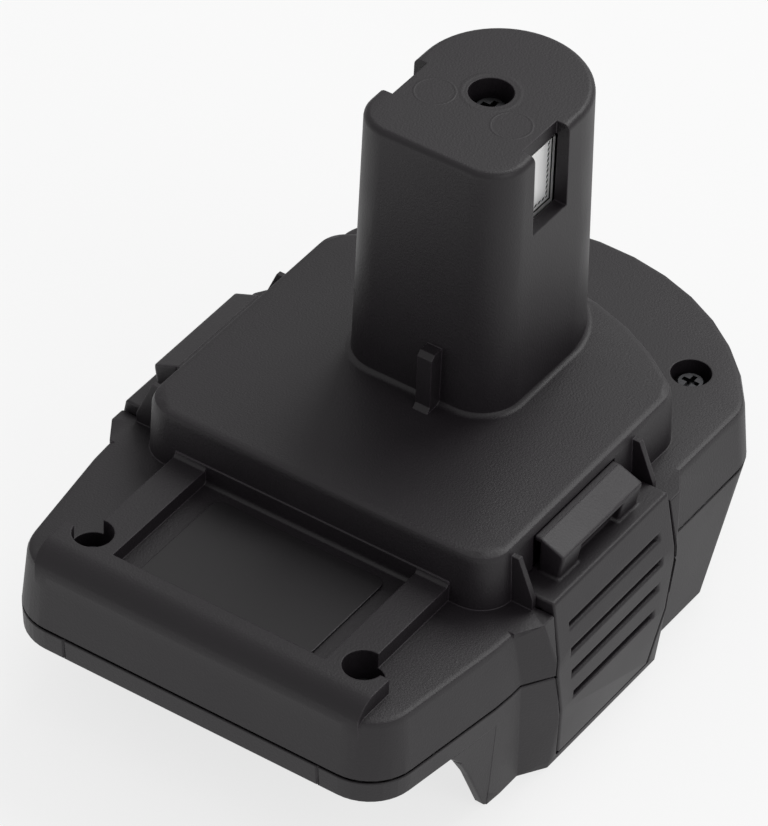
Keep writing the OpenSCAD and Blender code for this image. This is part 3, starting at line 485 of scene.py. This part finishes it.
spring_steel = brushed_metal("spring_steel", (0.55, 0.55, 0.56), roughness=0.35, streak_scale=evenly)
for side, way in (("left", -1.0), ("right", 1.0)):
    low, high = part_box(f"{side}_latch_spring")
    seat_x = low.x if way > 0 else high.x
    middle = Vector((seat_x + way * wire_r, (low.y + high.y) / 2.0, (low.z + high.z) / 2.0))
    coil_r = (high.y - low.y) / 2.0 - wire_r
    coil_steps = int(spring_turns * steps_a_turn)
    climb = way * (high.x - low.x - 2.0 * wire_r) / coil_steps
    bm = bmesh.new()
    start = Matrix.Translation(middle + Vector((0.0, coil_r, 0.0)))
    wire_end = bmesh.ops.create_circle(
        bm, cap_ends=False, segments=wire_sides, radius=wire_r, matrix=start,
    )["verts"]
    bmesh.ops.spin(
        bm, geom=wire_end + bm.edges[:], cent=middle, axis=(1.0, 0.0, 0.0), dvec=(climb, 0.0, 0.0),
        angle=2.0 * math.pi * spring_turns, steps=coil_steps, use_merge=False, use_duplicate=False,
    )
    bmesh.ops.holes_fill(bm, edges=[e for e in bm.edges if e.is_boundary], sides=wire_sides)
    bmesh.ops.recalc_face_normals(bm, faces=bm.faces[:])
    for face in bm.faces:
        face.smooth = len(face.verts) == 4
    coil = finished_piece(bm, f"{side}_coil", spring_steel)
    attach(coil, "case")
    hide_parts(f"{side}_latch_spring")
    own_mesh(coil)

# Contacts: two plates stamped from nickel-plated sheet, behind the windows in the stem's sides.
# A row of dark dashes, painted shade where the plate is perforated, and a fine dark line are painted round
# each plate inside its window.
window_height = 16.0 * MM
line_in = 0.85 * MM
line_half = 0.22 * MM
dash_in = 1.85 * MM
dash_half = 0.24 * MM
dash_pitch = 1.1 * MM
dash_share = 0.6
line_and_shade_black = (0.02, 0.02, 0.02, 1.0)
nickel = brushed_metal("nickel", (0.96, 0.955, 0.95), roughness=0.5, streak_scale=(1.0, 1.0, 0.15))
nickel_nodes = nickel.node_tree.nodes
nickel_links = nickel.node_tree.links


def contact_sum(operation, first, second):
    step = nickel_nodes.new("ShaderNodeMath")
    step.operation = operation
    for socket, value in zip(step.inputs, (first, second)):
        if isinstance(value, float):
            socket.default_value = value
        else:
            nickel_links.new(value, socket)
    return step.outputs["Value"]


def contact_line(distance, middle, half_width):
    away = contact_sum("ABSOLUTE", contact_sum("SUBTRACT", distance, middle), 0.0)
    return contact_sum("LESS_THAN", away, half_width)


plate_low, plate_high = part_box("right_contact")
nickel_place = next(n for n in nickel_nodes if n.bl_idname == "ShaderNodeTexCoord")
plate_place = nickel_nodes.new("ShaderNodeSeparateXYZ")
nickel_links.new(nickel_place.outputs["Object"], plate_place.inputs["Vector"])
plate_y, plate_z = plate_place.outputs["Y"], plate_place.outputs["Z"]
from_rear = contact_sum("SUBTRACT", plate_high.y, plate_y)
from_front = contact_sum("SUBTRACT", plate_y, plate_low.y)
from_foot = contact_sum("SUBTRACT", plate_z, stem_top - window_height)
from_rim = contact_sum("MINIMUM", contact_sum("MINIMUM", from_rear, from_front), from_foot)
along_rim = contact_sum("DIVIDE", contact_sum("SUBTRACT", plate_z, plate_y), dash_pitch)
on_dash = contact_sum("LESS_THAN", contact_sum("FRACT", along_rim, 0.0), dash_share)
# The dashes are painted shade that stands in for the plate's perforations.
perforation_shade = contact_sum("MULTIPLY", contact_line(from_rim, dash_in, dash_half), on_dash)
line_and_perforation_shade = contact_sum("MAXIMUM", contact_line(from_rim, line_in, line_half), perforation_shade)
painted_line_and_shade = nickel_nodes.new("ShaderNodeMix")
painted_line_and_shade.data_type = "RGBA"
painted_line_and_shade.inputs["B"].default_value = line_and_shade_black
nickel_shader = nickel_nodes["Principled BSDF"]
wire(nickel.node_tree, (
    (nickel_shader.inputs["Base Color"].links[0].from_socket, painted_line_and_shade.inputs["A"]),
    (line_and_perforation_shade, painted_line_and_shade.inputs["Factor"]),
    (painted_line_and_shade.outputs["Result"], nickel_shader.inputs["Base Color"]),
))
for side in ("left", "right"):
    dress(f"{side}_contact", nickel)

# Contact carrier and terminal block: plain mouldings inside, of a flame-proof grey-black plastic.
# The carrier keeps the contacts apart and hangs on the stem screw; the block holds the blades.
carrier_grey = (0.03, 0.03, 0.031)
carrier_plastic = moulded_plastic(
    "carrier_plastic", carrier_grey, roughness=0.5, grain=0.3, edge_radius=0.2 * MM, edge_wear_and_highlight=2.0,
)
for name in ("contact_carrier", "terminal_block"):
    dress(name, carrier_plastic)

# Power and signal blades: stamped from hard brass strip and pressed into the terminal block.
# They stand into the battery bay, where the slide pack's forks take hold of them.
blade_brass = brushed_metal("blade_brass", (0.72, 0.58, 0.3), roughness=0.35, streak_scale=(1.0, 0.15, 1.0))
for name in ("left_power_blade", "right_power_blade", "signal_blade"):
    dress(name, blade_brass)

# Screws: cold-headed steel, blackened, with plain shanks. One goes into the stem's top, four join
# the two shells, and two hold the circuit board.
screw_steel = brushed_metal("screw_steel", (0.07, 0.07, 0.074), roughness=0.36, streak_scale=evenly)
for name in node:
    if name.endswith("_screw"):
        dress(name, screw_steel)

# Circuit board: glass-fibre laminate under a green solder mask, on two posts inside the case.
# It carries the protection circuit between the blades and the stem's contacts.
mask_green = (0.03, 0.14, 0.06)
thin_edge = 0.1 * MM
solder_mask = moulded_plastic(
    "solder_mask", mask_green, roughness=0.3, grain=0.05, edge_radius=thin_edge, edge_wear_and_highlight=1.5,
)
dress("circuit_board", solder_mask)

# Leads: stranded copper in smooth silicone insulation, black on the left and red on the right.
# Each is soldered to the board and runs up inside the stem to its contact.
lead_black = (0.02, 0.02, 0.02)
lead_red = (0.42, 0.03, 0.025)
for side, name, colour in (("left", "black_insulation", lead_black), ("right", "red_insulation", lead_red)):
    insulation = moulded_plastic(
        name, colour, roughness=0.4, grain=0.05, edge_radius=thin_edge, edge_wear_and_highlight=1.5,
    )
    dress(f"{side}_lead", insulation)
